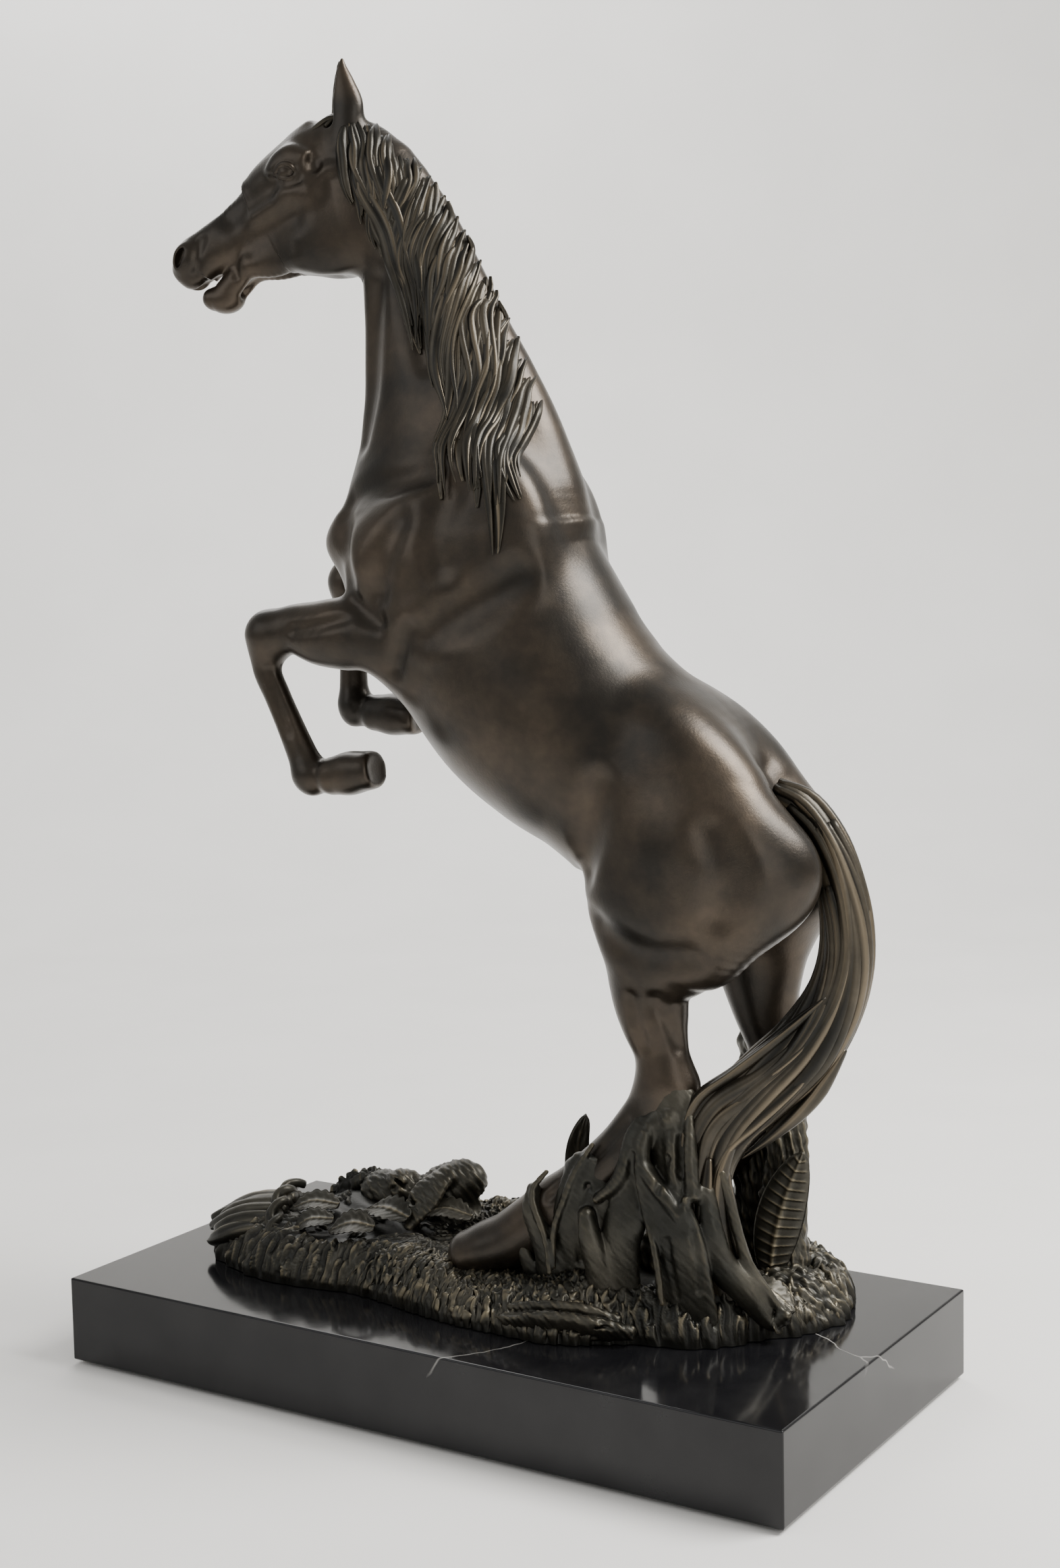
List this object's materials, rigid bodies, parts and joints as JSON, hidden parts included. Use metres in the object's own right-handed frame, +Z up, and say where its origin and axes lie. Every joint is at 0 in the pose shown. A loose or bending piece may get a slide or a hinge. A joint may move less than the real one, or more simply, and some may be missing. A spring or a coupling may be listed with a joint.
{
  "type": "horse statue",
  "caption": "Bronze figure of a rearing horse on rough grassy ground beside a tree stump, bolted to a rectangular polished black marble plinth.",
  "frame": {"origin": "centre of the plinth's footprint, on the surface the statue stands on", "axes": "+Z up; the horse faces -X along the plinth's long side; its left side faces -Y"},
  "size_m": [0.356, 0.18, 0.5752],
  "materials": {
    "bronze": "dark brown patinated bronze, polished smooth with worn golden edges",
    "bronze_ground": "dark green-brown patinated bronze, rough cast and chased",
    "black_marble": "polished black marble with a few white veins",
    "steel": "zinc plated",
    "felt": "black felt"
  },
  "bodies": {
    "root": {"head_casting": "bronze", "neck_casting": "bronze", "torso_casting": "bronze", "foreleg_left_casting": "bronze", "foreleg_right_casting": "bronze", "hind_leg_left_casting": "bronze", "hind_leg_right_casting": "bronze", "tail_casting": "bronze", "tree_stump_casting": "bronze_ground", "back_leaf": "bronze_ground", "wrapping_leaf": "bronze_ground", "low_leaf": "bronze_ground", "tall_leaf": "bronze_ground", "root_leaf": "bronze_ground", "side_leaf": "bronze_ground", "ground_casting": "bronze_ground", "marble_plinth": "black_marble", "mounting_stud_front": "steel", "mounting_washer_front": "steel", "mounting_nut_front": "steel", "mounting_stud_rear": "steel", "mounting_washer_rear": "steel", "mounting_nut_rear": "steel", "felt_pad_front_left": "felt", "felt_pad_front_right": "felt", "felt_pad_rear_left": "felt", "felt_pad_rear_right": "felt"}
  },
  "joints": []
}
